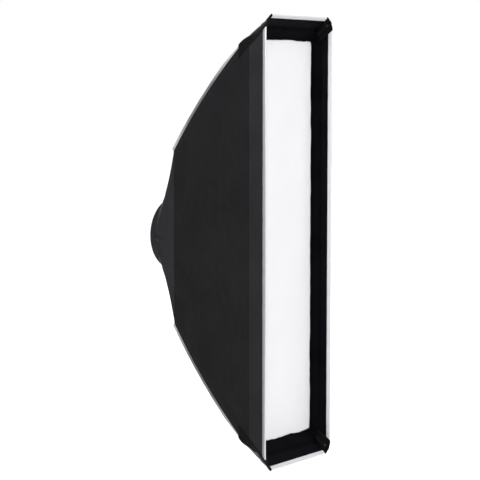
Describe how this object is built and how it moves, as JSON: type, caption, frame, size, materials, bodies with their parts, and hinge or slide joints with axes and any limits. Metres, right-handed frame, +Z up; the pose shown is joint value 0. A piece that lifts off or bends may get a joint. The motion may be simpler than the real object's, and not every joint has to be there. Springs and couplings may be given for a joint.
{
  "type": "studio softbox",
  "caption": "Tall rectangular lamp housing of black cloth on bowed rods, with a recessed white diffuser, an inner baffle and a turning rear ring.",
  "frame": {"origin": "centre of the lamp bore, on the rear face of the bayonet insert", "axes": "+Z up along the tall side of the opening, -Y out of the lit front, +Y towards the lamp head, +X to the right seen from the front"},
  "size_m": [0.3042, 0.4567, 1.2094],
  "materials": {
    "wall_cloth": "plain woven black nylon, slightly glossy",
    "lip_cloth": "matt black woven nylon",
    "hood_cloth": "gathered black woven nylon",
    "silver_lining": "crinkled silver coating",
    "binding_tape": "ribbed white and grey tape",
    "elastic": "ribbed elastic",
    "eyelet_metal": "nickel plated",
    "webbing": "coarse black webbing",
    "sleeve_cloth": "black cloth with pale bands at its ends",
    "rod_glassfibre": "pultruded glass fibre",
    "cap_plastic": "moulded",
    "arm_alloy": "die cast, satin",
    "diffusion_cloth": "thin white polyester",
    "hem_tape": "folded white tape",
    "hook_tape": "hook tape",
    "loop_tape": "loop tape",
    "stud_metal": "nickel plated",
    "insert_steel": "turned and plated",
    "retainer_metal": "turned, satin",
    "screw_steel": "zinc plated",
    "ring_alloy": "die cast, black anodised",
    "knob_plastic": "moulded, lightly textured"
  },
  "bodies": {
    "mount": {"bayonet_insert": "insert_steel", "retaining_ring": "retainer_metal", "retaining_screws": "screw_steel"},
    "ring": {"rotating_ring": "ring_alloy", "pivot_pins": "screw_steel", "collar": "hood_cloth", "collar_elastic": "elastic", "collar_eyelet": "eyelet_metal", "rear_hood": "hood_cloth", "left_panel": "wall_cloth", "right_panel": "wall_cloth", "left_lip": "lip_cloth", "right_lip": "lip_cloth", "left_lining": "silver_lining", "right_lining": "silver_lining", "left_binding": "binding_tape", "right_binding": "binding_tape", "lip_tape": "loop_tape", "diffuser_hem": "hook_tape", "front_diffuser": "diffusion_cloth", "inner_baffle": "diffusion_cloth", "baffle_hem": "hem_tape", "baffle_straps": "elastic", "snap_studs": "stud_metal"},
    "knob": {"lock_screw": "screw_steel", "lock_knob": "knob_plastic"},
    "upper_frame": {"top_panel": "wall_cloth", "top_lip": "lip_cloth", "top_lining": "silver_lining", "top_binding": "binding_tape", "arm_top_left": "arm_alloy", "rod_top_left": "rod_glassfibre", "tip_cap_top_left": "cap_plastic", "corner_pocket_top_left": "webbing", "rod_sleeve_top_left": "sleeve_cloth", "arm_top_right": "arm_alloy", "rod_top_right": "rod_glassfibre", "tip_cap_top_right": "cap_plastic", "corner_pocket_top_right": "webbing", "rod_sleeve_top_right": "sleeve_cloth"},
    "lower_frame": {"bottom_panel": "wall_cloth", "bottom_lip": "lip_cloth", "bottom_lining": "silver_lining", "bottom_binding": "binding_tape", "arm_bottom_left": "arm_alloy", "rod_bottom_left": "rod_glassfibre", "tip_cap_bottom_left": "cap_plastic", "corner_pocket_bottom_left": "webbing", "rod_sleeve_bottom_left": "sleeve_cloth", "arm_bottom_right": "arm_alloy", "rod_bottom_right": "rod_glassfibre", "tip_cap_bottom_right": "cap_plastic", "corner_pocket_bottom_right": "webbing", "rod_sleeve_bottom_right": "sleeve_cloth"}
  },
  "joints": [
    {"name": "ring_turn", "type": "hinge", "parent": "mount", "child": "ring", "pos_m": [0, 0, 0], "axis": [0, 1, 0], "continuous": true},
    {"name": "upper_fold", "type": "hinge", "parent": "ring", "child": "upper_frame", "pos_m": [0, -0.042, 0.062], "axis": [1, 0, 0], "range_deg": [0, 50], "deforming": ["rear_hood", "left_panel", "right_panel", "left_lip", "right_lip", "left_lining", "right_lining", "left_binding", "right_binding", "lip_tape", "diffuser_hem", "front_diffuser", "inner_baffle", "baffle_hem", "baffle_straps", "snap_studs"]},
    {"name": "lower_fold", "type": "hinge", "parent": "ring", "child": "lower_frame", "pos_m": [0, -0.042, -0.062], "axis": [-1, 0, 0], "range_deg": [0, 50], "deforming": ["rear_hood", "left_panel", "right_panel", "left_lip", "right_lip", "left_lining", "right_lining", "left_binding", "right_binding", "lip_tape", "diffuser_hem", "front_diffuser", "inner_baffle", "baffle_hem", "baffle_straps", "snap_studs"]},
    {"name": "lock_turn", "type": "hinge", "parent": "ring", "child": "knob", "pos_m": [0.1, -0.0202, 0], "axis": [1, 0, 0], "range_deg": [0, 360]}
  ],
  "couplings": [
    {"joint": "lower_fold", "follows": "upper_fold", "ratio": 1}
  ]
}
